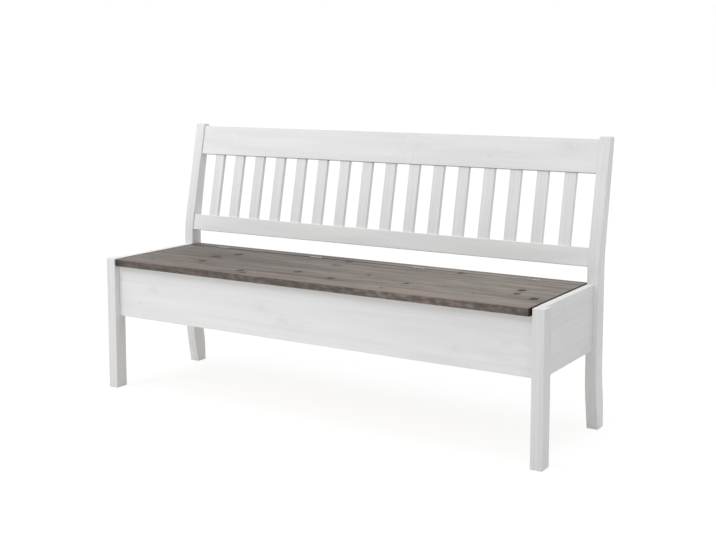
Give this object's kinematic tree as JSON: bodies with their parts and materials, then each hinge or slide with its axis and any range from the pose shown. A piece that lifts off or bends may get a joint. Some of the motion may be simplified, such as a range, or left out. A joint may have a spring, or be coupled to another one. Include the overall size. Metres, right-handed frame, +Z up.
{
  "type": "storage bench",
  "caption": "Long pine storage bench with a white painted frame, a slatted leaning backrest and a stained seat that lifts on hinges over a chest.",
  "frame": {"origin": "on the floor, at the middle of the bench's outline seen from above", "axes": "+X along the bench to its right as seen from the front, +Y towards the backrest, +Z up; a sitter looks towards -Y"},
  "size_m": [1.68, 0.5452, 0.9315],
  "materials": {
    "white_painted_pine": "satin white paint, thin enough to show the grain",
    "stained_seat_pine": "grey-brown stain under matt lacquer",
    "bare_pine": "planed, untreated",
    "plywood": "sanded, untreated",
    "hinge_steel": "zinc plated",
    "screw_steel": "zinc plated"
  },
  "bodies": {
    "frame": {"front_leg_left": "white_painted_pine", "front_leg_right": "white_painted_pine", "rear_post_left": "white_painted_pine", "rear_post_right": "white_painted_pine", "end_panel_left": "white_painted_pine", "end_panel_right": "white_painted_pine", "front_apron": "white_painted_pine", "rear_apron": "white_painted_pine", "top_rail": "white_painted_pine", "lower_rail": "white_painted_pine", "back_slat_01": "white_painted_pine", "back_slat_02": "white_painted_pine", "back_slat_03": "white_painted_pine", "back_slat_04": "white_painted_pine", "back_slat_05": "white_painted_pine", "back_slat_06": "white_painted_pine", "back_slat_07": "white_painted_pine", "back_slat_08": "white_painted_pine", "back_slat_09": "white_painted_pine", "back_slat_10": "white_painted_pine", "back_slat_11": "white_painted_pine", "back_slat_12": "white_painted_pine", "back_slat_13": "white_painted_pine", "back_slat_14": "white_painted_pine", "back_slat_15": "white_painted_pine", "back_slat_16": "white_painted_pine", "hinge_strip": "stained_seat_pine", "corner_batten_front_left": "bare_pine", "corner_batten_front_right": "bare_pine", "corner_batten_rear_left": "bare_pine", "corner_batten_rear_right": "bare_pine", "bottom_cleat_front": "bare_pine", "bottom_cleat_rear": "bare_pine", "bottom_cleat_left": "bare_pine", "bottom_cleat_right": "bare_pine", "lid_rest_left": "bare_pine", "lid_rest_right": "bare_pine", "hinge_strip_ledger": "bare_pine", "bottom_panel": "plywood", "hinge_leaves_strip": "hinge_steel", "hinge_pins": "hinge_steel", "hinge_screws_strip": "screw_steel", "hinge_strip_screws": "screw_steel", "corner_screws": "screw_steel"},
    "lid": {"lid_board_1": "stained_seat_pine", "lid_board_2": "stained_seat_pine", "lid_board_3": "stained_seat_pine", "lid_board_4": "stained_seat_pine", "lid_board_5": "stained_seat_pine", "lid_board_6": "stained_seat_pine", "lid_batten_1": "bare_pine", "lid_batten_2": "bare_pine", "lid_batten_3": "bare_pine", "hinge_leaves_lid": "hinge_steel", "hinge_screws_lid": "screw_steel", "lid_batten_screws": "screw_steel"}
  },
  "joints": [
    {"name": "lid_hinge", "type": "hinge", "parent": "frame", "child": "lid", "pos_m": [0, 0.13989, 0.471], "axis": [-1, 0, 0], "range_deg": [0, 103]}
  ]
}
